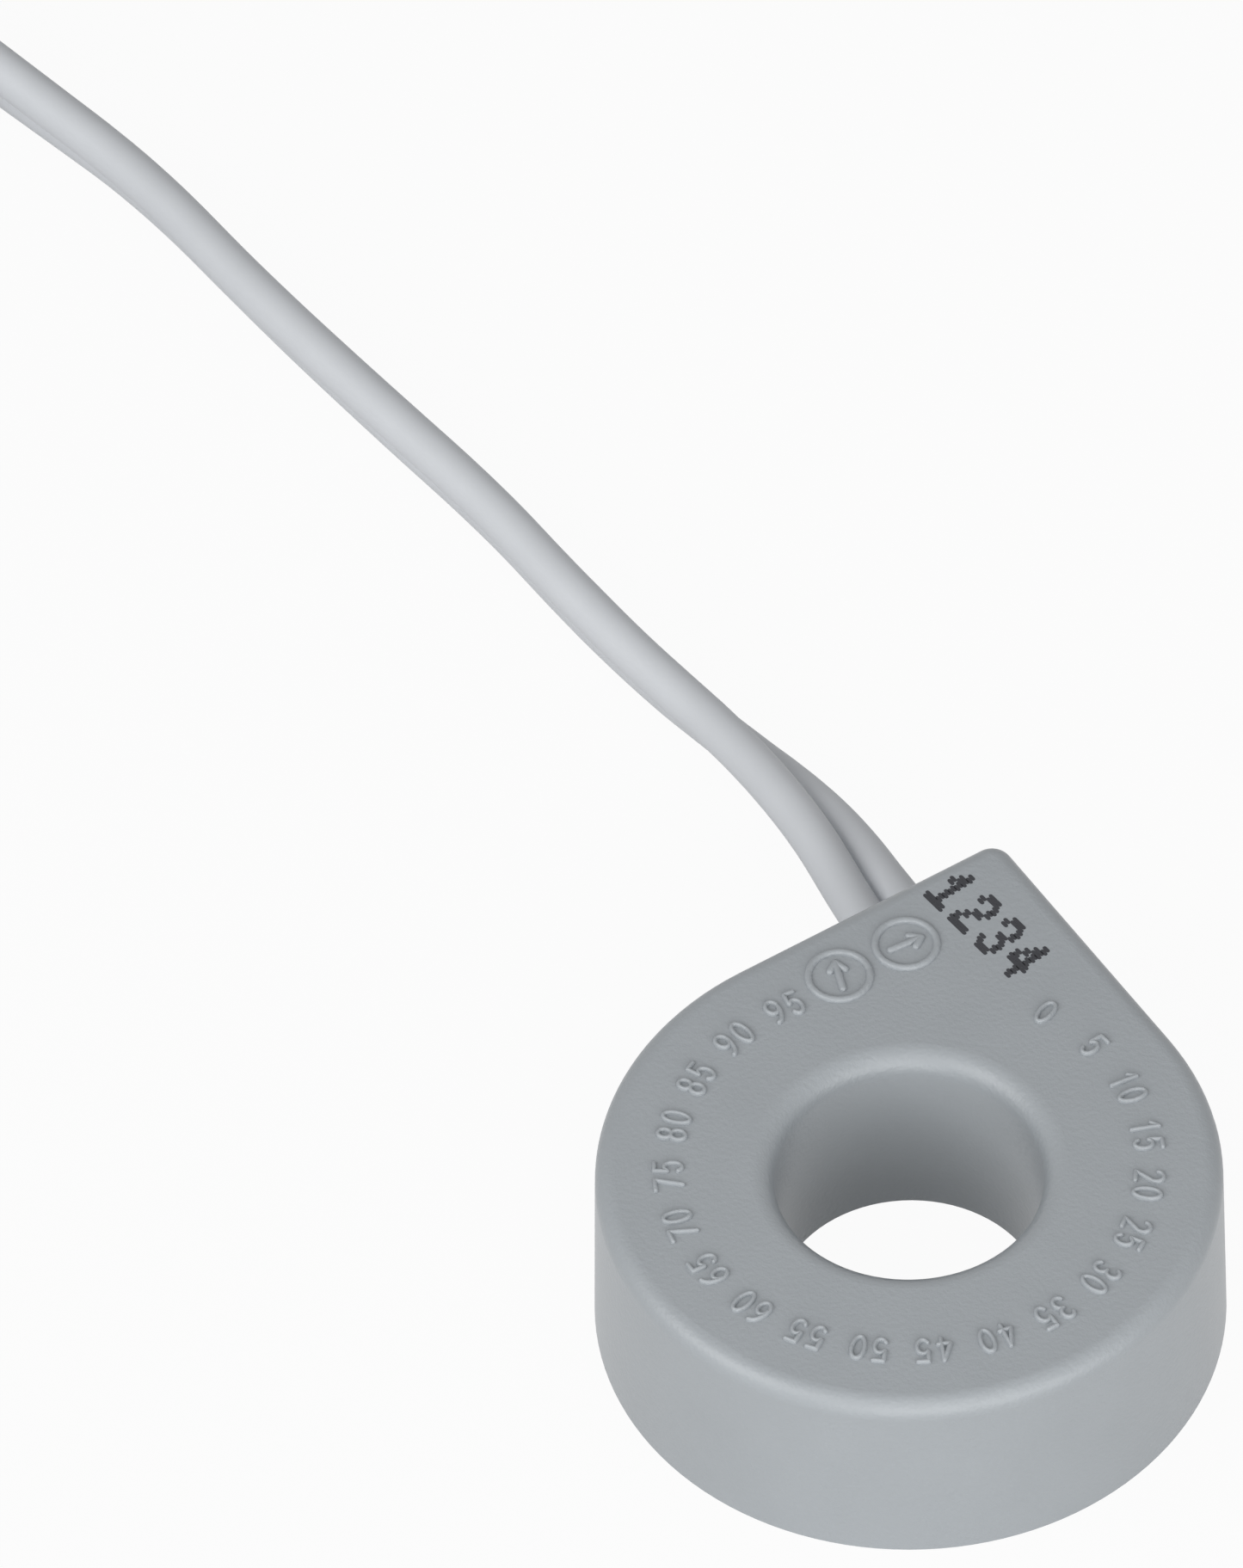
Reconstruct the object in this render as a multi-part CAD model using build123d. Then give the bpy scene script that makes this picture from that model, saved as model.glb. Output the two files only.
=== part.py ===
from build123d import *
from math import cos, pi, radians, sin, sqrt, tan
import os

# Ring-type current transformer: a moulded teardrop case with a round bore, a wound core inside,
# and a flat twin lead that leaves one of the case's two flat sides near its corner.
# Millimetres. The origin is on the bore's axis, level with the case's lower rim. +Z runs up the
# bore and the case's corner points along +Y.

# Case, sizes at the top face before its edge is rounded
case_height = 11.8
case_radius = 17.0
case_draft = 1.0
corner_radius = 1.25
edge_radius = 1.1
bore_radius = 7.3
bore_mouth_radius = 1.35

# Case walls
side_wall = 1.3
top_wall = 1.3
tube_wall = 1.0
cavity_corner_radius = 0.8

# Lower rim and the plate that closes it
rim_wall = 0.7
rim_tube_wall = 0.6
cover_thickness = 1.2
cover_recess = 0.2
cover_clearance = 0.05

# Wound core. The core, each wall of its box and the winding inside the box take shares of the
# room that the case leaves, and the winding outside the box takes the rest.
core_share = 0.42
box_wall_share = 0.115
winding_inside_share = 0.195
box_clearance = 0.05
winding_end = 0.8
winding_corner = 0.6
tape_thickness = 0.2
tube_clearance = 0.3
side_clearance = 1.4
washer_thickness = 0.5
cushion_thickness = 1.0
locating_rib_width = 1.0
locating_rib_clearance = 0.1
locating_rib_angles = (210, 270, 330)

# Flat twin lead and its port
lobe_diameter = 2.5
lobe_pitch = 2.5
web_thickness = 0.75
port_height = 5.0
port_clearance = 0.15
port_chamfer = 0.3
lead_standoff = 0.3
conductor_diameter = 0.8

# Tie that keeps the lead from being pulled out, and the block of the cover under it
tie_width = 2.0
tie_thickness = 0.7
tie_wall_gap = 0.1
tie_side_gap = 0.9
tie_head_height = 1.8
tie_head_width = 2.6
block_clearance = 0.05

# Splices between the lead and the winding, along the side that the lead doesn't leave by
splice_side_gap = 0.35
splice_top_gap = 1.05
splice_floor_gap = 1.75
tail_diameter = 2.4
tail_length = 3.6
tail_lead_in = 1.4
tail_bend_radius = 1.45
tail_last_run = 1.35
tail_lean = 0.6
conductor_length = 2.3
sleeve_length = 3.8
sleeve_wall = 0.25
sleeve_clearance = 0.05
sleeve_gap = 0.5
crimp_length = 2.7
crimp_diameter = 1.5
crimp_bore = 1.0
winding_wire_diameter = 0.5
winding_wire_grip = 1.0
winding_wire_gap = 0.05
winding_wire_run = 1.5
winding_wire_bend = 0.6

# Free lead on the surface: the mid-line of its two lobes, from the port to the coil
lead_route = [
    (-10.6, 28.1, 4.6),
    (-13.7, 31.5, 3.9),
    (-18.3, 35.7, 2.75),
    (-23.0, 39.6, 2.5),
    (-28.4, 44.3, 2.5),
    (-34.0, 49.4, 2.5),
    (-41.9, 55.6, 2.5),
    (-50.1, 62.3, 2.5),
    (-58.4, 69.3, 2.5),
    (-66.3, 74.5, 2.5),
    (-71.5, 77.5, 3.1),
]
lead_first_run = 4.5
lead_last_run = 5.0
lead_last_heading = 151.0
lead_arc_share = 0.45

# Coil of the length that isn't seen, two layers of three turns, and its ties
coil_radius = 27.5
coil_columns = 3
coil_layers = 2
coil_slack = 0.1
coil_edge_radius = 2.4
coil_tie_thickness = 0.5
coil_tie_width = 3.0
coil_tie_angles = (151, 331)
coil_lead_in = 19.0
lead_end_length = 27.0
stripped_length = 7.0

# Sizes of the case that follow from those above
slope = tan(radians(case_draft))
rim_radius = case_radius + case_height * slope
rim_corner_radius = corner_radius + case_height * slope
ledge_height = cover_recess + cover_thickness
cavity_top = case_height - top_wall
tube_radius = bore_radius + tube_wall
cavity_side = rim_radius - port_height * slope - side_wall

# Radii of the wound core, its tape first and then from the inside outwards
tape_inner = tube_radius + tube_clearance
tape_outer = case_radius - side_wall - side_clearance
wound_room = tape_outer - tape_inner - 2 * (tape_thickness + box_clearance)
box_wall = box_wall_share * wound_room
winding_inner = tape_inner + tape_thickness
winding_outer = tape_outer - tape_thickness
box_inner = winding_inner + winding_inside_share * wound_room
core_inner = box_inner + box_wall + box_clearance
core_outer = core_inner + core_share * wound_room
box_outer = core_outer + box_clearance + box_wall

# Heights of the wound core from the cover up and from the case's top wall down
tape_bottom = ledge_height + cushion_thickness
winding_bottom = tape_bottom + tape_thickness
box_bottom = winding_bottom + winding_end
core_bottom = box_bottom + box_wall + box_clearance
tape_top = cavity_top - washer_thickness
winding_top = tape_top - tape_thickness
box_top = winding_top - winding_end
core_top = box_top - box_wall - box_clearance

# The side that the lead leaves by: u runs out of it, v along it towards the corner
side_out = Vector(-cos(radians(45)), sin(radians(45)), 0)
side_along = Vector(cos(radians(45)), sin(radians(45)), 0)
lead_width = lobe_pitch + lobe_diameter
lead_start = rim_radius + lead_standoff
port_offset = cavity_side - tie_side_gap - tie_thickness - lead_width / 2
tie_outer = cavity_side - tie_wall_gap
tie_inner = tie_outer - tie_width
lead_split = tie_inner - block_clearance

# The splices' common axis, and where their pieces begin along it
sleeve_radius = crimp_diameter / 2 + sleeve_clearance + sleeve_wall
splice_offset = cavity_side - splice_side_gap - sleeve_radius
upper_splice = cavity_top - splice_top_gap - sleeve_radius
lower_splice = ledge_height + splice_floor_gap + sleeve_radius
tail_end = lead_split - tail_length
sleeve_start = tail_end - sleeve_gap
crimp_start = sleeve_start - (sleeve_length - crimp_length) / 2
crimp_end = crimp_start - crimp_length
sleeve_end = sleeve_start - sleeve_length


def side_point(u, v, z):
    """A point given by its distance out of the lead's side, along that side and its height."""
    return side_out * u + side_along * v + Vector(0, 0, z)


def side_plane(u):
    """A plane across the lead as it leaves, its normal out of the side and its y upwards."""
    return Plane(origin=side_point(u, port_offset, port_height), x_dir=-side_along, z_dir=side_out)


def teardrop(radius, tip_radius):
    """A circle drawn out to a square corner on +Y, with the corner rounded."""
    half = radians(45)
    tip = (radius - tip_radius) / sin(half)
    right = Vector(radius * cos(half), radius * sin(half))
    left = Vector(-right.X, right.Y)
    tip_right = Vector(tip_radius * cos(half), tip + tip_radius * sin(half))
    tip_left = Vector(-tip_right.X, tip_right.Y)
    return make_face([
        ThreePointArc(left, (0, -radius), right),
        Line(right, tip_right),
        ThreePointArc(tip_right, (0, tip + tip_radius), tip_left),
        Line(tip_left, left),
    ])


def puck(radius, bottom, top):
    """A plain disc about the bore's axis."""
    return Pos(0, 0, bottom) * extrude(Circle(radius), top - bottom)


def ring(inner, outer, bottom, top):
    """A plain ring about the bore's axis."""
    return puck(outer, bottom, top) - puck(inner, bottom, top)


def rounded_ring(inner, outer, bottom, top, radius):
    """A ring about the bore's axis with all four of its edges rounded."""
    body = ring(inner, outer, bottom, top)
    return fillet(body.edges().filter_by(GeomType.CIRCLE), radius)


def rod(start, end, radius):
    """A round bar from one point to another."""
    run = end - start
    return extrude(Plane(origin=start, z_dir=run) * Circle(radius), run.length)


def bent_rod(points, radius, bend_radius):
    """A round bar along straight runs that are joined by arcs of one or several radii."""
    path = FilletPolyline(*points, radius=bend_radius)
    return sweep(Plane(origin=points[0], z_dir=points[1] - points[0]) * Circle(radius), path)


def bore_mouth(shell):
    """The bore's upper edge."""
    rounds = shell.edges().filter_by(GeomType.CIRCLE)
    return rounds.filter_by(lambda edge: abs(edge.radius - bore_radius) < 0.01).group_by(Axis.Z)[-1]


def port_edges(shell):
    """The edges of the lead's port on the outside of the case."""
    mouth = side_point(rim_radius - port_height * slope, port_offset, port_height)
    reach = lead_width / 2 + 2 * port_clearance
    near = shell.edges().filter_by(lambda edge: (edge.center() - mouth).length < reach)
    return near.filter_by(lambda edge: abs((edge.center() - mouth).dot(side_out)) < side_wall / 4)


def locating_rib(angle):
    """An upright rib inside the case that keeps the wound core in the middle."""
    inner = tape_outer + locating_rib_clearance
    depth = case_radius - side_wall / 2 - inner
    height = cavity_top - ledge_height
    rib = Box(depth, locating_rib_width, height, align=(Align.MIN, Align.CENTER, Align.MIN))
    return Rot(0, 0, angle) * Pos(inner, 0, ledge_height) * rib


def case_shell():
    """The moulded case: a drafted teardrop cup with its bore tube, ledge, ribs and lead port."""
    shell = extrude(teardrop(rim_radius, rim_corner_radius), case_height, taper=case_draft)
    shell = fillet(shell.edges().group_by(Axis.Z)[-1], edge_radius)

    ledge_outline = teardrop(rim_radius - side_wall - ledge_height * slope, cavity_corner_radius)
    cavity = extrude(ledge_outline, cavity_top - ledge_height, taper=case_draft)
    shell -= Pos(0, 0, ledge_height) * cavity
    shell -= extrude(teardrop(rim_radius - rim_wall, cavity_corner_radius), ledge_height)

    shell += puck(bore_radius + rim_tube_wall, 0, ledge_height)
    shell += puck(tube_radius, ledge_height, cavity_top)
    for angle in locating_rib_angles:
        shell += locating_rib(angle)
    shell -= puck(bore_radius, 0, case_height)
    shell = fillet(bore_mouth(shell), bore_mouth_radius)

    slot = SlotOverall(lead_width + 2 * port_clearance, lobe_diameter + 2 * port_clearance)
    shell -= extrude(side_plane(lead_start) * slot, tie_outer - lead_start)
    return chamfer(port_edges(shell), port_chamfer)


def base_cover():
    """The plate that closes the case from below, with the block that stands under the tie."""
    outline = teardrop(rim_radius - rim_wall - cover_clearance, cavity_corner_radius - cover_clearance)
    cover = Pos(0, 0, cover_recess) * extrude(outline, cover_thickness)
    cover -= puck(bore_radius + rim_tube_wall + cover_clearance, 0, ledge_height)
    block_top = port_height - lobe_diameter / 2 - tie_thickness - block_clearance
    block = Box(
        lobe_pitch,
        tie_width - 2 * block_clearance,
        block_top - ledge_height,
        align=(Align.CENTER, Align.CENTER, Align.MIN),
    )
    seat = side_point((tie_outer + tie_inner) / 2, port_offset, ledge_height)
    return cover + Plane(origin=seat, x_dir=side_along, z_dir=(0, 0, 1)) * block


def strip_core():
    """The ring wound from magnetic strip."""
    return ring(core_inner, core_outer, core_bottom, core_top)


def core_box():
    """The trough that the core lies in."""
    trough = ring(box_inner, box_outer, box_bottom, box_top - box_wall)
    return trough - ring(box_inner + box_wall, box_outer - box_wall, box_bottom + box_wall, box_top)


def core_box_lid():
    """The flat lid on the trough."""
    return ring(box_inner, box_outer, box_top - box_wall, box_top)


def secondary_winding():
    """The winding as one solid: a hollow ring round the core box with rounded outer edges."""
    body = rounded_ring(winding_inner, winding_outer, winding_bottom, winding_top, winding_corner)
    return body - ring(box_inner, box_outer, box_bottom, box_top)


def winding_tape():
    """The tape over the winding, a thin skin of the same form."""
    skin = rounded_ring(tape_inner, tape_outer, tape_bottom, tape_top, winding_corner + tape_thickness)
    return skin - rounded_ring(winding_inner, winding_outer, winding_bottom, winding_top, winding_corner)


def insulating_washer():
    """The flat ring between the wound core and the case's top wall."""
    return ring(tape_inner, tape_outer, tape_top, cavity_top)


def cushion_ring():
    """The foam ring that presses the wound core up from the cover."""
    return ring(tape_inner, tape_outer, ledge_height, tape_bottom)


def twin_section():
    """The section of the flat lead: two round lobes that meet in a narrow web."""
    section = Rectangle(lobe_pitch, web_thickness)
    for side in (-1, 1):
        section += Pos(side * lobe_pitch / 2, 0) * Circle(lobe_diameter / 2)
    return section


def tail(side, height):
    """One parted core of the lead. The one away from the corner climbs over the other."""
    lobe_offset = port_offset + side * lobe_pitch / 2
    bend = lead_split - tail_lead_in
    points = [
        side_point(lead_split, lobe_offset, port_height),
        side_point(bend, lobe_offset, port_height),
    ]
    if side < 0:
        points.append(side_point(bend - tail_lean, lobe_offset + tail_lean, height - tail_lean))
    points.append(side_point(tail_end + tail_last_run, splice_offset, height))
    points.append(side_point(tail_end, splice_offset, height))
    return bent_rod(points, tail_diameter / 2, tail_bend_radius)


def lead_entry():
    """The lead from outside its port to the ends of its two parted cores."""
    body = extrude(side_plane(lead_start) * twin_section(), lead_split - lead_start)
    for side, height in zip((-1, 1), (upper_splice, lower_splice)):
        body += tail(side, height)
    return body


def strain_relief_tie():
    """The small tie drawn tight round the lead just inside the wall, with its square head."""
    outline = SlotOverall(lead_width + 2 * tie_thickness, lobe_diameter + 2 * tie_thickness)
    opening = SlotOverall(lead_width, lobe_diameter)
    band = extrude(side_plane(tie_outer) * (outline - opening), -tie_width)
    head = Box(tie_head_width, tie_head_height, tie_width, align=(Align.CENTER, Align.MIN, Align.MAX))
    return band + side_plane(tie_outer) * Pos(0, (lobe_diameter + tie_thickness) / 2, 0) * head


def splice_rod(start, end, height, radius):
    """A round bar on a splice's axis."""
    return rod(side_point(start, splice_offset, height), side_point(end, splice_offset, height), radius)


def splice_tube(start, end, height, radius, hollow_radius):
    """A round tube on a splice's axis."""
    return splice_rod(start, end, height, radius) - splice_rod(start, end, height, hollow_radius)


def conductor(height):
    """The stripped end of one core of the lead, from its insulation into the crimp."""
    return splice_rod(tail_end, tail_end - conductor_length, height, conductor_diameter / 2)


def crimp(height):
    """The barrel that joins a core of the lead to the winding."""
    return splice_tube(crimp_start, crimp_end, height, crimp_diameter / 2, crimp_bore / 2)


def sleeve(height):
    """The insulating sleeve over a crimp."""
    return splice_tube(sleeve_start, sleeve_end, height, sleeve_radius, sleeve_radius - sleeve_wall)


def winding_lead(height):
    """The end of the winding: a wire from inside the crimp to the face of the tape."""
    radius = winding_wire_diameter / 2
    reach = tape_outer + winding_wire_gap + radius
    foot = sleeve_end - winding_wire_run
    points = [
        side_point(crimp_end + winding_wire_grip, splice_offset, height),
        side_point(sleeve_end, splice_offset, height),
        side_point(foot, sqrt(reach ** 2 - foot ** 2), height),
    ]
    return bent_rod(points, radius, winding_wire_bend)


def lead_points():
    """The route of the free lead from the port's face to the coil's way in."""
    first = side_point(lead_start, port_offset, port_height)
    points = [first, first + side_out * lead_first_run]
    points += [Vector(*point) for point in lead_route]
    heading = radians(lead_last_heading)
    points.append(points[-1] + Vector(cos(heading), sin(heading), 0) * lead_last_run)
    return points


def lead():
    """The free lead as a plain tube of the flat lead's width, straight runs joined by arcs."""
    points = lead_points()
    radii = []
    for before, corner, after in zip(points, points[1:], points[2:]):
        run_in = corner - before
        run_out = after - corner
        half_turn = radians(run_in.get_angle(run_out)) / 2
        radii.append(lead_arc_share * min(run_in.length, run_out.length) / tan(half_turn))
    tube = bent_rod(points, lead_width / 2, radii)
    section = pi * (lead_width / 2) ** 2
    print("lead radii", [round(radius, 1) for radius in radii])
    print("lead length", round(tube.volume / section, 1))
    return tube


def coil_frame():
    """The lead's heading into the coil, the way to the coil's centre and the centre itself."""
    heading = radians(lead_last_heading)
    along = Vector(cos(heading), sin(heading), 0)
    inwards = Vector(-sin(heading), cos(heading), 0)
    outer_turn = coil_radius + (coil_columns - 1) * lead_width / 2
    centre = lead_points()[-1] + along * coil_lead_in + inwards * outer_turn
    return along, inwards * outer_turn, centre


def coil_section():
    """The coil's inner and outer radius, its underside and its top."""
    half_width = coil_columns * lead_width / 2 + coil_slack
    top = coil_tie_thickness + coil_layers * lead_width + 2 * coil_slack
    return coil_radius - half_width, coil_radius + half_width, coil_tie_thickness, top


def lead_end():
    """Where the far end leaves the coil's top layer, half a turn on, and its direction."""
    along, to_centre, centre = coil_frame()
    rise = Vector(0, 0, (coil_layers - 1) * lead_width)
    return centre + to_centre + rise, -along


def lead_coil():
    """The coiled length as one ring, with the lead's way in and the far end's way out."""
    along, to_centre, centre = coil_frame()
    body = Pos(centre.X, centre.Y, 0) * rounded_ring(*coil_section(), coil_edge_radius)
    way_in = lead_points()[-1]
    way_out, away = lead_end()
    body += rod(way_in, way_in + along * coil_lead_in, lead_width / 2)
    body += rod(way_out, way_out + away * lead_end_length, lead_width / 2)
    return body


def coil_tie(angle, coil):
    """A band drawn round the coil's section, shaped by the coil that it holds."""
    centre = coil_frame()[2]
    inner, outer, bottom, top = coil_section()
    band = Box(
        outer - inner + 2 * coil_tie_thickness,
        coil_tie_width,
        top - bottom + 2 * coil_tie_thickness,
        align=(Align.CENTER, Align.CENTER, Align.MIN),
    )
    band = fillet(band.edges().filter_by(Axis.Y), coil_edge_radius + coil_tie_thickness)
    place = Pos(centre.X, centre.Y, bottom - coil_tie_thickness) * Rot(0, 0, angle) * Pos(coil_radius, 0, 0)
    return place * band - coil


def end_conductor(side):
    """One stripped end of the lead, above or below the middle of the flat lead on its edge."""
    way_out, away = lead_end()
    start = way_out + away * lead_end_length + Vector(0, 0, side * lobe_pitch / 2)
    return rod(start, start + away * stripped_length, conductor_diameter / 2)


coil = lead_coil()
nodes = {
    "case_shell": case_shell(),
    "base_cover": base_cover(),
    "strip_core": strip_core(),
    "core_box": core_box(),
    "core_box_lid": core_box_lid(),
    "secondary_winding": secondary_winding(),
    "winding_tape": winding_tape(),
    "insulating_washer": insulating_washer(),
    "cushion_ring": cushion_ring(),
    "lead_entry": lead_entry(),
    "strain_relief_tie": strain_relief_tie(),
    "lead": lead(),
    "lead_coil": coil,
}
for number, height in enumerate((upper_splice, lower_splice), 1):
    nodes[f"conductor_{number}"] = conductor(height)
    nodes[f"crimp_{number}"] = crimp(height)
    nodes[f"sleeve_{number}"] = sleeve(height)
    nodes[f"winding_lead_{number}"] = winding_lead(height)
for number, angle in enumerate(coil_tie_angles, 1):
    nodes[f"coil_tie_{number}"] = coil_tie(angle, coil)
for number, side in enumerate((1, -1), 1):
    nodes[f"end_conductor_{number}"] = end_conductor(side)

os.makedirs("parts", exist_ok=True)
for name, solid in nodes.items():
    export_step(solid, f"parts/{name}.step")
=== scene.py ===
import bpy
import math
from mathutils import Matrix, Vector


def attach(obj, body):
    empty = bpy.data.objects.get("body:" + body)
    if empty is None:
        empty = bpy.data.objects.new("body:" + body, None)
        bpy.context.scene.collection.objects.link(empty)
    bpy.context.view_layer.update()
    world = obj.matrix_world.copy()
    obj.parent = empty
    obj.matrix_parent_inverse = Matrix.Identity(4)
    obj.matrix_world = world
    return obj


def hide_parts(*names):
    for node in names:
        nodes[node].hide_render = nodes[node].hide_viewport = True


# Ring-type current transformer on a pale floor, in metres, in the CAD model's own frame: the
# origin is on the bore's axis, level with the case's rim, and the case's corner points along +Y.
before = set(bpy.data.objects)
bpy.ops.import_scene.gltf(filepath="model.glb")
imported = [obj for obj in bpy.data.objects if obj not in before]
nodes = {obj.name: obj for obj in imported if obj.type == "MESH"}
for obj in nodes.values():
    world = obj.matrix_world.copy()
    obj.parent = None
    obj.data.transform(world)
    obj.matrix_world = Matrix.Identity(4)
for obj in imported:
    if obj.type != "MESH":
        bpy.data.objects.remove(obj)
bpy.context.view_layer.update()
mm = 0.001


# Camera. It stands where the photograph's did: high in front of the case, a little to its right,
# and far enough back that a long lens flattens the view.
camera_azimuth = math.radians(13.21)
camera_elevation = math.radians(49.46)
camera_roll = math.radians(-1.39)
camera_distance = 1405.4 * mm
camera_aside = -15.739 * mm
camera_above = 28.297 * mm
photo_height = 1823
focal_pixels = 30000
sensor_long_side = 36.0

camera_turn = (
    Matrix.Rotation(camera_azimuth, 3, "Z")
    @ Matrix.Rotation(math.pi / 2 - camera_elevation, 3, "X")
    @ Matrix.Rotation(camera_roll, 3, "Z")
)
camera_data = bpy.data.cameras.new("camera")
camera_data.sensor_width = sensor_long_side
camera_data.lens = focal_pixels / photo_height * sensor_long_side
camera = bpy.data.objects.new("camera", camera_data)
bpy.context.collection.objects.link(camera)
camera_place = camera_turn @ Vector((camera_aside, camera_above, camera_distance))
camera.matrix_world = Matrix.Translation(camera_place) @ camera_turn.to_4x4()
bpy.context.scene.camera = camera


# Flat twin lead. Two cores in light grey soft PVC, extruded together as two round lobes that meet
# in a narrow web. It leaves the port lying flat, rolls onto its edge within two centimetres and
# runs off along the surface. The length out of sight is wound into a coil of two layers.
lobe_radius = 1.25 * mm
lobe_pitch = 2.5 * mm
web_thickness = 0.5 * mm
steps_per_lobe = 40
steps_per_point = 10
# The route and the coil are in millimetres.
lead_route = [
    (-4.092, 20.665, 5.0),
    (-5.153, 21.726, 5.0),
    (-7.15, 23.97, 5.0),
    (-10.2, 28.0, 4.6),
    (-13.68, 31.72, 3.9),
    (-18.0, 35.75, 2.75),
    (-23.0, 39.55, 2.5),
    (-28.5, 44.25, 2.5),
    (-34.05, 49.45, 2.5),
    (-41.95, 55.6, 2.5),
    (-50.1, 62.2, 2.5),
    (-58.2, 69.4, 2.5),
    (-66.3, 74.6, 2.5),
    (-71.5, 77.5, 3.1),
    (-75.873, 79.924, 3.1),
]
coil_centre = Vector((-108.247, 60.71))
coil_start_angle = math.radians(61)
coil_outer_radius = 32.5
coil_pitch = 5.0
coil_heights = (3.1, 8.1)
turns_per_layer = 2.0
turns_between_layers = 0.5
points_per_turn = 16
end_run = 27.0


def layer_change(turns):
    """How far the coil has climbed from its lower layer to its upper one, from 0 to 1."""
    share = min(max((turns - turns_per_layer) / turns_between_layers, 0), 1)
    return share * share * (3 - 2 * share)


route = list(lead_route)
coil_turns = 2 * turns_per_layer + turns_between_layers
for step in range(round(coil_turns * points_per_turn) + 2):
    turns = (step - 0.5) / points_per_turn
    back_out = max(turns - turns_per_layer - turns_between_layers, 0)
    inwards = coil_pitch * (min(turns, turns_per_layer) - back_out)
    radius = (coil_outer_radius - inwards) / math.cos(math.pi / points_per_turn)
    angle = coil_start_angle + 2 * math.pi * turns
    place = coil_centre + radius * Vector((math.cos(angle), math.sin(angle)))
    height = coil_heights[0] + (coil_heights[1] - coil_heights[0]) * layer_change(turns)
    route.append((place.x, place.y, height))
leaving = coil_start_angle + 2 * math.pi * coil_turns
end_heading = Vector((-math.sin(leaving), math.cos(leaving)))
lead_end = coil_centre + coil_outer_radius * Vector((math.cos(leaving), math.sin(leaving)))
lead_end += end_run * end_heading
route.append((lead_end.x, lead_end.y, coil_heights[1]))

spline_curve = bpy.data.curves.new("lead_route", "CURVE")
spline_curve.dimensions = "3D"
spline = spline_curve.splines.new("NURBS")
spline.points.add(len(route) - 1)
for point, place in zip(spline.points, route):
    point.co = (*(Vector(place) * mm), 1)
spline.order_u = 3
spline.use_endpoint_u = True
spline.resolution_u = steps_per_point
spline_object = bpy.data.objects.new("lead_route", spline_curve)
spline_mesh = bpy.data.meshes.new_from_object(spline_object)
lead_path = [vertex.co.copy() for vertex in spline_mesh.vertices]
bpy.data.objects.remove(spline_object)

# The lead's lean from lying flat (90) to standing on its edge (0), in degrees, at distances along
# it in millimetres. In the coil the two lobes lie one above the other.
lead_lean = [
    (0, 90), (3, 85.5), (6, 74), (9, 63.5), (12, 54), (15, 44), (18, 34.5), (21, 28),
    (25, 23.5), (32, 20.5), (50, 22), (64, 25), (76, 23.5), (88, 17), (105, 40),
]


def lean_at(distance):
    """The lead's lean at a distance along it, in radians."""
    for (start, lean), (end, next_lean) in zip(lead_lean, lead_lean[1:]):
        if distance < end * mm:
            share = (distance / mm - start) / (end - start)
            return math.radians(lean + (next_lean - lean) * share)
    return math.radians(lead_lean[-1][1])


lobe_section = []
web_angle = math.asin(web_thickness / 2 / lobe_radius)
for side in (-1, 1):
    for step in range(steps_per_lobe + 1):
        angle = web_angle + (2 * math.pi - 2 * web_angle) * step / steps_per_lobe
        across = side * (lobe_pitch / 2 - lobe_radius * math.cos(angle))
        lobe_section.append((across, -side * lobe_radius * math.sin(angle)))


def link_mesh(name, vertices, faces, material):
    """A mesh object of the given vertices and faces, smooth but for its many-sided end faces."""
    mesh = bpy.data.meshes.new(name)
    mesh.from_pydata(vertices, [], faces)
    mesh.materials.append(material)
    for face in mesh.polygons:
        face.use_smooth = len(face.vertices) == 4
    piece = bpy.data.objects.new(name, mesh)
    bpy.context.collection.objects.link(piece)
    return piece


def tube_faces(rings, around):
    """The faces of a tube of that many rings of points, closed at both ends."""
    faces = []
    for ring in range(rings - 1):
        for step in range(around):
            after = (step + 1) % around
            corners = (step, after, around + after, around + step)
            faces.append([ring * around + corner for corner in corners])
    last = (rings - 1) * around
    faces.append(list(range(around))[::-1])
    faces.append([last + step for step in range(around)])
    return faces


def linear_colour(hex_code):
    """The linear colour of an sRGB hex code, with full alpha."""
    shares = [int(hex_code[place:place + 2], 16) / 255 for place in (1, 3, 5)]
    return [s / 12.92 if s <= 0.04045 else ((s + 0.055) / 1.055) ** 2.4 for s in shares] + [1]


def set_inputs(owner, node, inputs):
    """Gives each named input of a node its value, or links the socket that feeds it."""
    for name, value in inputs.items():
        if isinstance(value, bpy.types.NodeSocket):
            owner.node_tree.links.new(value, node.inputs[name])
        else:
            node.inputs[name].default_value = value


def add_node(owner, kind, inputs, **settings):
    """Adds a node with its settings and inputs to a material or the world."""
    node = owner.node_tree.nodes.new(kind)
    for name, value in settings.items():
        setattr(node, name, value)
    set_inputs(owner, node, inputs)
    return node


def clouded(name, darker, lighter, patch, detail):
    """A material in soft patches of that size between two colours, its shader and its patches."""
    material = bpy.data.materials.new(name)
    material.use_nodes = True
    shader = material.node_tree.nodes["Principled BSDF"]
    place = add_node(material, "ShaderNodeTexCoord", {}).outputs["Object"]
    patches = add_node(material, "ShaderNodeTexNoise", {
        "Vector": place, "Scale": 1 / patch, "Detail": detail,
    }).outputs["Fac"]
    colour = add_node(material, "ShaderNodeMixRGB", {
        "Fac": patches, "Color1": linear_colour(darker), "Color2": linear_colour(lighter),
    })
    set_inputs(material, shader, {"Base Color": colour.outputs["Color"]})
    return material, shader, patches


# Colorant mixes into a plastic in soft clouds a few millimetres wide, with finer ones in them.
cloud_size = 4 * mm
cloud_detail = 5
grain_detail = 2


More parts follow.
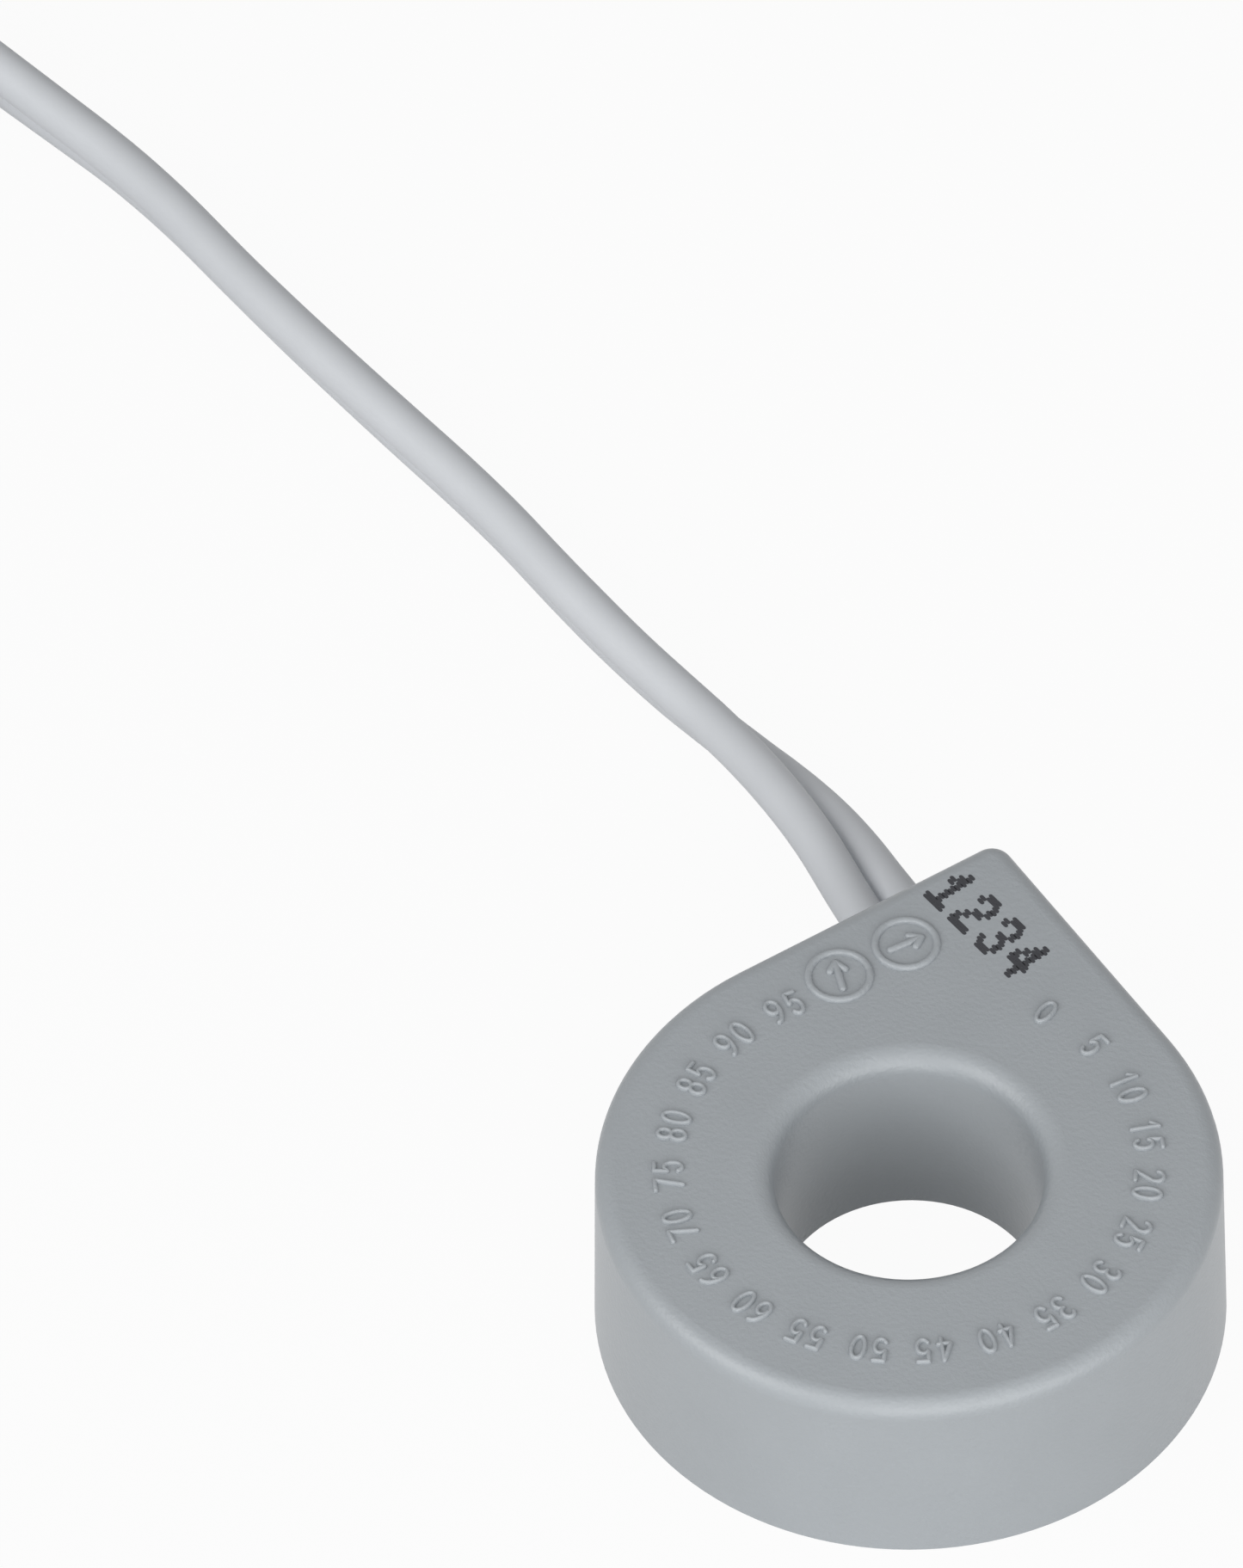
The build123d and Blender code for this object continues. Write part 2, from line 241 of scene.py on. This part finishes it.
def plastic(name, darker, lighter, roughness, grain, relief, ior=1.5):
    """A plastic with faint clouds between two colours and a grain of that width and depth."""
    material, shader, _ = clouded(name, darker, lighter, cloud_size, cloud_detail)
    place = add_node(material, "ShaderNodeTexCoord", {}).outputs["Object"]
    pits = add_node(material, "ShaderNodeTexNoise", {
        "Vector": place, "Scale": 1 / grain, "Detail": grain_detail,
    })
    bump = add_node(material, "ShaderNodeBump", {
        "Height": pits.outputs["Fac"], "Distance": relief,
    })
    set_inputs(material, shader, {
        "Roughness": roughness, "IOR": ior, "Normal": bump.outputs["Normal"],
    })
    return material


# Soft PVC straight from the extruder: an even light grey satin that takes broad soft highlights.
lead_pvc = plastic(
    "soft_pvc_extruded", "#CCCFD3", "#D4D7DB",
    roughness=0.55, grain=0.5 * mm, relief=0.002 * mm, ior=1.53,
)
lead_rings = []
travelled = 0.0
for index, place in enumerate(lead_path):
    before = lead_path[max(index - 1, 0)]
    after = lead_path[min(index + 1, len(lead_path) - 1)]
    if index > 0:
        travelled += (place - before).length
    along = (after - before).normalized()
    lean = lean_at(travelled)
    towards_second = math.sin(lean) * Vector((along.y, -along.x, 0)).normalized()
    towards_second -= math.cos(lean) * Vector((0, 0, 1))
    towards_second = (towards_second - towards_second.dot(along) * along).normalized()
    upright = towards_second.cross(along)
    for across, up in lobe_section:
        lead_rings.append(place + across * towards_second + up * upright)
lead_faces = tube_faces(len(lead_path), len(lobe_section))
lead_piece = link_mesh("flat_lead", lead_rings, lead_faces, lead_pvc)
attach(lead_piece, "root")
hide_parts("lead", "lead_coil")


# Stripped ends of the two cores. Seven tinned copper strands, six of them twisted round a straight
# one, stand out of each lobe at the far end, for the terminals of a meter.
strand_radius = 0.13 * mm
strands_round_middle = 6
strand_lay = 9 * mm
stripped_length = 7 * mm
strand_steps = 30
strand_around = 10
upwards = Vector((0, 0, 1))
end_direction = Vector((end_heading.x, end_heading.y, 0))
end_sideways = Vector((-end_direction.y, end_direction.x, 0))
patch_detail = 2


def metal(name, darker, lighter, smoothest, roughest, patch):
    """A metal with patches of that size between two colours and between two roughnesses."""
    material, shader, patches = clouded(name, darker, lighter, patch, patch_detail)
    gloss = add_node(material, "ShaderNodeMapRange", {
        "Value": patches, "To Min": smoothest, "To Max": roughest,
    })
    set_inputs(material, shader, {"Metallic": 1.0, "Roughness": gloss.outputs["Result"]})
    return material


# Bright hot tin on drawn copper: a soft white metal, a little cloudy where the tin is thicker.
tinned_copper = metal(
    "tinned_copper_drawn", "#B9B5AE", "#DAD8D3", smoothest=0.22, roughest=0.4, patch=0.5 * mm,
)
for number, side in enumerate((1, -1), 1):
    vertices = []
    faces = []
    for strand in range(1 + strands_round_middle):
        twist_radius = 0 if strand == 0 else 2 * strand_radius
        first = len(vertices)
        for step in range(strand_steps + 1):
            run = stripped_length * step / strand_steps
            turn = 2 * math.pi * (run / strand_lay + strand / strands_round_middle)
            offset = Vector((0, 0, side * lobe_pitch / 2))
            offset += twist_radius * (math.sin(turn) * upwards + math.cos(turn) * end_sideways)
            middle = lead_path[-1] + end_direction * run + offset
            for spoke in range(strand_around):
                angle = 2 * math.pi * spoke / strand_around
                rim = math.cos(angle) * end_sideways + math.sin(angle) * upwards
                vertices.append(middle + strand_radius * rim)
        for face in tube_faces(strand_steps + 1, strand_around):
            faces.append([first + corner for corner in face])
    strands = link_mesh(f"stranded_end_{number}", vertices, faces, tinned_copper)
    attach(strands, "root")
    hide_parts(f"end_conductor_{number}")


# Ties of the coil. Two bands of black soft PVC are drawn tight round all its turns and keep the
# spare length together until the lead is laid.
def dress(material, *names):
    """Gives the CAD nodes of those names that material."""
    for name in names:
        nodes[name].data.materials[0] = material


# Moulded soft PVC: near black, with a soft sheen along its edges.
tie_pvc = plastic(
    "tie_pvc_moulded", "#17181A", "#1F2023",
    roughness=0.38, grain=0.5 * mm, relief=0.01 * mm, ior=1.53,
)
dress(tie_pvc, "coil_tie_1", "coil_tie_2")


# Case. A teardrop cup moulded in grey glass-filled polyamide, its bore tube in one piece with it.
# The mould is spark-eroded, which leaves a fine matt grain all over.

# Eroded matt polyamide: an even mid grey whose grain softens the highlights on its edges. The
# grain is drawn a little coarser than the real one, so that it shows.
case_plastic = plastic(
    "polyamide_moulded_matt", "#9CA1A5", "#A2A7AB",
    roughness=0.36, grain=0.28 * mm, relief=0.035 * mm,
)
dress(case_plastic, "case_shell")


# Raised figures round the bore, moulded in one with the case: a plain scale from 0 to 95 in steps
# of five. Every stroke is a round ridge, as a ball-ended cutter's groove in the mould leaves it.
case_top = 11.8 * mm
ridge_relief = 0.22 * mm
ridge_around = 16
ridge_end_turns = [math.radians(turn) for turn in (25, 50, 75)]
arc_step = 12
figure_half_width = 0.14 * mm
figure_baseline = 12.3 * mm
figure_height = 1.5 * mm
figure_pitch = 1.2 * mm
figure_first_angle = 67
figure_last_angle = -227
figure_step = 5
figure_count = 20


def arc(x, y, across, up, start, end):
    """Points along part of an ellipse, between two angles in degrees."""
    steps = max(2, round(abs(end - start) / arc_step))
    turns = [math.radians(start + (end - start) * step / steps) for step in range(steps + 1)]
    return [(x + across * math.cos(turn), y + up * math.sin(turn)) for turn in turns]


# The strokes of each figure, one unit high, with x = 0 in its middle.
figure_strokes = {
    "0": [arc(0, 0.5, 0.23, 0.5, 0, 360)],
    "1": [[(-0.13, 0.74), (0.06, 1)], [(0.06, 1), (0.06, 0)]],
    "2": [
        arc(0, 0.74, 0.22, 0.26, 165, -20),
        [(0.2, 0.62), (-0.22, 0)], [(-0.22, 0), (0.22, 0)],
    ],
    "3": [arc(0, 0.75, 0.2, 0.25, 150, -90), arc(0, 0.25, 0.22, 0.25, 90, -150)],
    "4": [[(0.1, 0), (0.1, 1)], [(0.1, 1), (-0.23, 0.26)], [(-0.23, 0.26), (0.23, 0.26)]],
    "5": [
        [(0.19, 1), (-0.16, 1)], [(-0.16, 1), (-0.19, 0.55)],
        arc(0, 0.32, 0.22, 0.32, 140, -145),
    ],
    "6": [arc(0, 0.29, 0.22, 0.29, 0, 360), arc(0.2, 0.29, 0.42, 0.71, 180, 95)],
    "7": [[(-0.22, 1), (0.22, 1)], [(0.22, 1), (-0.06, 0)]],
    "8": [arc(0, 0.76, 0.19, 0.24, 0, 360), arc(0, 0.26, 0.22, 0.26, 0, 360)],
    "9": [arc(0, 0.71, 0.22, 0.29, 0, 360), arc(-0.2, 0.71, 0.42, 0.71, 0, -85)],
}


def ridge(points, half_width, vertices, faces):
    """Adds a round ridge along points on the case's top, with round ends, to a mesh's lists."""
    points = [Vector(point) for point in points]
    stations = []
    for index, point in enumerate(points):
        before = points[max(index - 1, 0)]
        after = points[min(index + 1, len(points) - 1)]
        along = (after - before).normalized()
        stations.append((point, along, 1))
        if index in (0, len(points) - 1):
            outwards = along * half_width * (-1 if index == 0 else 1)
            ends = [
                (point + outwards * math.sin(turn), along, math.cos(turn))
                for turn in ridge_end_turns
            ]
            stations = ends[::-1] + stations if index == 0 else stations + ends
    first = len(vertices)
    for point, along, share in stations:
        for step in range(ridge_around):
            turn = 2 * math.pi * step / ridge_around
            beside = share * half_width * math.cos(turn) * Vector((-along.y, along.x))
            above = case_top + share * ridge_relief * math.sin(turn)
            vertices.append((point.x + beside.x, point.y + beside.y, above))
    for face in tube_faces(len(stations), ridge_around):
        faces.append([first + corner for corner in face])


figure_vertices = []
figure_faces = []
for number in range(figure_count):
    label = str(number * figure_step)
    share = number / (figure_count - 1)
    middle = math.radians(figure_first_angle + (figure_last_angle - figure_first_angle) * share)
    for place, figure in enumerate(label):
        aside = (place - (len(label) - 1) / 2) * figure_pitch
        for stroke in figure_strokes[figure]:
            bent = []
            for x, y in stroke:
                radius = figure_baseline + y * figure_height
                angle = middle - (aside + x * figure_height) / (figure_baseline + figure_height / 2)
                bent.append((radius * math.cos(angle), radius * math.sin(angle)))
            ridge(bent, figure_half_width, figure_vertices, figure_faces)
figures_piece = link_mesh("raised_figures", figure_vertices, figure_faces, case_plastic)
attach(figures_piece, "root")


# Two moulding date marks beside the scale, each a raised ring round an arrow. Round steel inserts
# in the mould form them, and the moulder turns the arrows to the month and the year.
insert_places = [(-6.45 * mm, 12.35 * mm, 25), (-3.35 * mm, 15.3 * mm, -50)]
insert_half_width = 0.22 * mm
insert_ring_radius = 1.7 * mm
arrow_tip = (0, 0.95 * mm)
arrow_starts = [(0, -0.95 * mm), (-0.42 * mm, 0.4 * mm), (0.42 * mm, 0.4 * mm)]
insert_strokes = [arc(0, 0, insert_ring_radius, insert_ring_radius, 0, 360)]
insert_strokes += [[start, arrow_tip] for start in arrow_starts]
insert_vertices = []
insert_faces = []
for x, y, turn in insert_places:
    turned = Matrix.Rotation(math.radians(turn), 2)
    for stroke in insert_strokes:
        placed = [turned @ Vector(point) + Vector((x, y)) for point in stroke]
        ridge(placed, insert_half_width, insert_vertices, insert_faces)
inserts_piece = link_mesh("date_inserts", insert_vertices, insert_faces, case_plastic)
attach(inserts_piece, "root")


# Printed figures near the corner: four plain digits in black solvent ink, sprayed as a matrix of
# dots after moulding. Each dot of the matrix is two short dashes, as the print head leaves them.
ink_digits = {
    "1": ("..#..", ".##..", "#.#..", "..#..", "..#..", "..#..", "#####"),
    "2": (".###.", "#...#", "....#", "..##.", ".#...", "#....", "#####"),
    "3": (".###.", "#...#", "....#", "..##.", "....#", "#...#", ".###."),
    "4": ("...#.", "..##.", ".#.#.", "#..#.", "#####", "...#.", "...#."),
}
ink_text = "1234"
ink_first = Vector((-1.65 * mm, 19.57 * mm))
ink_last = Vector((3.16 * mm, 15.52 * mm))
ink_columns = 5
ink_rows = 7
ink_width = 1.6 * mm
ink_height = 3.0 * mm
dash_length = 0.5 * mm
dash_width = 0.23 * mm
dash_gap = 0.24 * mm
dash_jog = 0.05 * mm
dash_end_steps = 5
# Where the dashes of two columns overlap, those of the odd columns lie on top.
ink_thickness = 0.012 * mm
ink_overlap_rise = 0.003 * mm
column_pitch = (ink_width - dash_length) / (ink_columns - 1)
row_pitch = (ink_height - dash_gap - dash_width) / (ink_rows - 1)
reading = (ink_last - ink_first).normalized()
reading_up = Vector((-reading.y, reading.x))


def dash_outline(middle, across, up):
    """The outline of one dash with round ends, at a place in the digit that has that middle."""
    outline = []
    for end in (1, -1):
        for step in range(dash_end_steps):
            turn = math.pi * (step / (dash_end_steps - 1) - 0.5)
            reach = (dash_length - dash_width) / 2 + dash_width / 2 * math.cos(turn)
            above = up + end * dash_width / 2 * math.sin(turn)
            outline.append(middle + (across + end * reach) * reading + above * reading_up)
    return outline


dash_points = []
dash_faces = []
for number, digit in enumerate(ink_text):
    middle = ink_first.lerp(ink_last, number / (len(ink_text) - 1))
    for row, cells in enumerate(ink_digits[digit]):
        for column, cell in enumerate(cells):
            if cell != "#":
                continue
            ink_top = case_top + ink_thickness + column % 2 * ink_overlap_rise
            for half in (-1, 1):
                across = (column - (ink_columns - 1) / 2) * column_pitch + half * dash_jog
                up = ((ink_rows - 1) / 2 - row) * row_pitch - half * dash_gap / 2
                outline = dash_outline(middle, across, up)
                for face in tube_faces(2, len(outline)):
                    dash_faces.append([len(dash_points) + corner for corner in face])
                for level in (case_top, ink_top):
                    dash_points += [(place.x, place.y, level) for place in outline]
# Dried solvent ink: a thin dull black, a little lighter where it dried thinner.
ink = plastic(
    "solvent_ink_dried", "#25262B", "#2F3035",
    roughness=0.6, grain=0.1 * mm, relief=0.004 * mm,
)
ink_piece = link_mesh("printed_digits", dash_points, dash_faces, ink)
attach(ink_piece, "root")


# Base cover. A flat plate of the same grey polyamide lies on a ledge inside the case's lower rim,
# and is welded to it once the core and the splices are in.

# Polyamide from a smooth tool: a slightly darker grey than the case, with hardly any grain.
cover_plastic = plastic(
    "polyamide_moulded_smooth", "#8D9396", "#969C9F",
    roughness=0.45, grain=0.4 * mm, relief=0.005 * mm,
)
dress(cover_plastic, "base_cover")


# Wound core. Thin magnetic strip is wound like a clock spring and laid in a nylon box, which keeps
# the winding's pressure off it. The strip's edges show as fine rings on both faces. Real strip is
# some 0.02 mm thick, and its rings are drawn coarser, so that they show.
strip_pitch = 0.12 * mm
strip_relief = 0.01 * mm
# Annealed alloy strip: dull grey metal with a soft sheen, ribbed by its own edges.
core_strip = metal(
    "alloy_strip_annealed", "#8E9297", "#A3A7AC", smoothest=0.35, roughest=0.5, patch=1 * mm,
)
strip_place = add_node(core_strip, "ShaderNodeTexCoord", {}).outputs["Object"]
strip_parts = add_node(core_strip, "ShaderNodeSeparateXYZ", {"Vector": strip_place})
strip_flat = add_node(core_strip, "ShaderNodeCombineXYZ", {
    "X": strip_parts.outputs["X"], "Y": strip_parts.outputs["Y"],
})
strip_radius = add_node(core_strip, "ShaderNodeVectorMath", {
    0: strip_flat.outputs["Vector"],
}, operation="LENGTH")
strip_turns = add_node(core_strip, "ShaderNodeMath", {
    0: strip_radius.outputs["Value"], 1: 2 * math.pi / strip_pitch,
}, operation="MULTIPLY")
strip_wave = add_node(core_strip, "ShaderNodeMath", {
    0: strip_turns.outputs["Value"],
}, operation="SINE")
strip_bump = add_node(core_strip, "ShaderNodeBump", {
    "Height": strip_wave.outputs["Value"], "Distance": strip_relief,
})
core_shader = core_strip.node_tree.nodes["Principled BSDF"]
set_inputs(core_strip, core_shader, {"Normal": strip_bump.outputs["Normal"]})
dress(core_strip, "strip_core")
# Natural nylon: milky off-white with a soft gloss.
box_nylon = plastic(
    "nylon_natural_moulded", "#DCD8CA", "#E4E1D4",
    roughness=0.4, grain=0.5 * mm, relief=0.006 * mm, ior=1.53,
)
dress(box_nylon, "core_box", "core_box_lid")


# Secondary winding. Fine enamelled copper wire goes round the boxed core, turn beside turn, and is
# wrapped in yellow polyester tape that laps over itself. The wire is finer than it is drawn here,
# so that its turns show.
winding_ribs = 330
winding_relief = 0.05 * mm
varnish_weight = 0.8
varnish_roughness = 0.15
tape_laps = 26
tape_relief = 0.04 * mm


def angle_pattern(material, repeats, shape):
    """A pattern that repeats round the bore's axis, made by one operation on the angle."""
    place = add_node(material, "ShaderNodeTexCoord", {}).outputs["Object"]
    parts = add_node(material, "ShaderNodeSeparateXYZ", {"Vector": place})
    angle = add_node(material, "ShaderNodeMath", {
        0: parts.outputs["Y"], 1: parts.outputs["X"],
    }, operation="ARCTAN2")
    turns = add_node(material, "ShaderNodeMath", {
        0: angle.outputs["Value"], 1: repeats,
    }, operation="MULTIPLY")
    pattern = add_node(material, "ShaderNodeMath", {
        0: turns.outputs["Value"],
    }, operation=shape)
    return pattern.outputs["Value"]


# Enamelled copper: warm metal under clear varnish, ribbed by the turns of the wire.
copper_winding = metal(
    "copper_wire_enamelled", "#A95A28", "#BD7038", smoothest=0.25, roughest=0.35, patch=1.5 * mm,
)
copper_ribs = add_node(copper_winding, "ShaderNodeBump", {
    "Height": angle_pattern(copper_winding, winding_ribs, "SINE"), "Distance": winding_relief,
})
copper_shader = copper_winding.node_tree.nodes["Principled BSDF"]
set_inputs(copper_winding, copper_shader, {
    "Coat Weight": varnish_weight,
    "Coat Roughness": varnish_roughness,
    "Normal": copper_ribs.outputs["Normal"],
})
dress(copper_winding, "secondary_winding", "winding_lead_1", "winding_lead_2")
# Polyester film tape: thin glossy yellow film, with a step at the edge of each lap.
polyester_tape = plastic(
    "polyester_film_tape", "#D3AA30", "#DCB748",
    roughness=0.22, grain=2 * mm, relief=0.01 * mm, ior=1.6,
)
tape_steps = add_node(polyester_tape, "ShaderNodeBump", {
    "Height": angle_pattern(polyester_tape, tape_laps / (2 * math.pi), "FRACT"),
    "Distance": tape_relief,
})
tape_shader = polyester_tape.node_tree.nodes["Principled BSDF"]
set_inputs(polyester_tape, tape_shader, {"Normal": tape_steps.outputs["Normal"]})
dress(polyester_tape, "winding_tape")


# Washer over the wound core and cushion under it. The washer is cut from brown pressboard, and the
# cushion from closed-cell foam that presses the core up against it.

# Pressboard: dull tan board, mottled by its fibres.
pressboard = plastic(
    "pressboard_cut", "#AD9060", "#C2A675",
    roughness=0.8, grain=0.25 * mm, relief=0.03 * mm,
)
dress(pressboard, "insulating_washer")
# Closed-cell foam: dark grey, pitted by the cells that the knife has opened.
foam = plastic(
    "polyethylene_foam_cut", "#434547", "#4F5153",
    roughness=0.9, grain=0.35 * mm, relief=0.12 * mm,
)
dress(foam, "cushion_ring")


# Lead inside the case. The same flat lead runs in through the port, under a small nylon tie that
# holds it, and its two cores part and turn towards the splices.
dress(lead_pvc, "lead_entry")
# Moulded nylon: cream white and smooth, a little glossier than the core's box.
tie_nylon = plastic(
    "nylon_tie_moulded", "#E6E3D8", "#EEECE2",
    roughness=0.3, grain=0.5 * mm, relief=0.004 * mm, ior=1.53,
)
dress(tie_nylon, "strain_relief_tie")


# Splices. Each core's stripped end and the winding's wire are crimped in a brass barrel, and black
# sleeve is shrunk over it.
dress(tinned_copper, "conductor_1", "conductor_2")
# Rolled brass: yellow metal, duller where the crimping tool has pressed it.
crimp_brass = metal(
    "brass_rolled_tube", "#B8924A", "#CDAA64", smoothest=0.25, roughest=0.4, patch=0.8 * mm,
)
dress(crimp_brass, "crimp_1", "crimp_2")
# Heat-shrunk sleeve: black film with a soft sheen, wrinkled a little by the shrinking.
sleeve_film = plastic(
    "polyolefin_sleeve_shrunk", "#262729", "#303133",
    roughness=0.4, grain=0.6 * mm, relief=0.03 * mm,
)
dress(sleeve_film, "sleeve_1", "sleeve_2")


# Floor. A wide sheet of white paper lies under the object. It looks white to the camera, in a
# gloss and through clear matter, and its own share of that look keeps the object's shadow.
floor_side = 6.0
paper_own_share = 0.05
paper_roughness = 0.9


def seen_directly(owner):
    """1 for a ray from the camera, a gloss or clear matter, and 0 for one that gathers light."""
    rays = add_node(owner, "ShaderNodeLightPath", {}).outputs
    seen = add_node(owner, "ShaderNodeMath", {
        0: rays["Is Camera Ray"], 1: rays["Is Glossy Ray"],
    }, operation="MAXIMUM")
    seen_or_clear = add_node(owner, "ShaderNodeMath", {
        0: seen.outputs["Value"], 1: rays["Is Transmission Ray"],
    }, operation="MAXIMUM")
    return seen_or_clear.outputs["Value"]


# White paper: a dull even sheet.
floor_paper = bpy.data.materials.new("white_paper_sheet")
floor_paper.use_nodes = True
floor_nodes = floor_paper.node_tree.nodes
paper_shader = floor_nodes["Principled BSDF"]
set_inputs(floor_paper, paper_shader, {
    "Base Color": linear_colour("#B4B4B4"), "Roughness": paper_roughness,
})
whiteness = add_node(floor_paper, "ShaderNodeMath", {
    0: seen_directly(floor_paper), 1: 1 - paper_own_share,
}, operation="MULTIPLY")
paper_white = add_node(floor_paper, "ShaderNodeEmission", {
    "Color": linear_colour("#FFFFFF"), "Strength": 1.0,
})
paper_mix = add_node(floor_paper, "ShaderNodeMixShader", {
    "Fac": whiteness.outputs["Value"],
    1: paper_shader.outputs["BSDF"],
    2: paper_white.outputs["Emission"],
})
set_inputs(floor_paper, floor_nodes["Material Output"], {"Surface": paper_mix.outputs["Shader"]})
floor_corners = [
    (floor_side / 2 * across, floor_side / 2 * along, 0)
    for across, along in ((-1, -1), (1, -1), (1, 1), (-1, 1))
]
floor = link_mesh("floor", floor_corners, [(0, 1, 2, 3)], floor_paper)


# Light. A white tent stands round the floor and lights the object faintly from all sides. Four
# square lamps in it give the soft highlights: one in front, one on each side and one above.
tent_strength = 0.3
lamp_distance = 0.4
lamp_side = 0.28
# Each lamp's name, its azimuth from the front and its elevation in degrees, and its watts.
lamps = [
    ("front", 12, 16, 0.56),
    ("left", -50, 38, 0.72),
    ("right", 55, 15, 0.52),
    ("above", 25, 50, 0.32),
]
world = bpy.data.worlds.new("light_tent")
bpy.context.scene.world = world
world.use_nodes = True
tent_light = world.node_tree.nodes["Background"]
set_inputs(world, tent_light, {"Color": linear_colour("#FFFFFF"), "Strength": tent_strength})
tent_white = add_node(world, "ShaderNodeBackground", {
    "Color": linear_colour("#FFFFFF"), "Strength": 1.0,
})
tent_mix = add_node(world, "ShaderNodeMixShader", {
    "Fac": seen_directly(world),
    1: tent_light.outputs["Background"],
    2: tent_white.outputs["Background"],
})
set_inputs(world, world.node_tree.nodes["World Output"], {"Surface": tent_mix.outputs["Shader"]})
for name, azimuth, elevation, watts in lamps:
    lamp_turn = (
        Matrix.Rotation(math.radians(azimuth), 4, "Z")
        @ Matrix.Rotation(math.radians(90 - elevation), 4, "X")
    )
    lamp_data = bpy.data.lights.new(name, "AREA")
    lamp_data.size = lamp_side
    lamp_data.energy = watts
    lamp = bpy.data.objects.new(name, lamp_data)
    bpy.context.collection.objects.link(lamp)
    lamp.matrix_world = lamp_turn @ Matrix.Translation((0, 0, lamp_distance))

bpy.context.scene.view_settings.view_transform = "Standard"
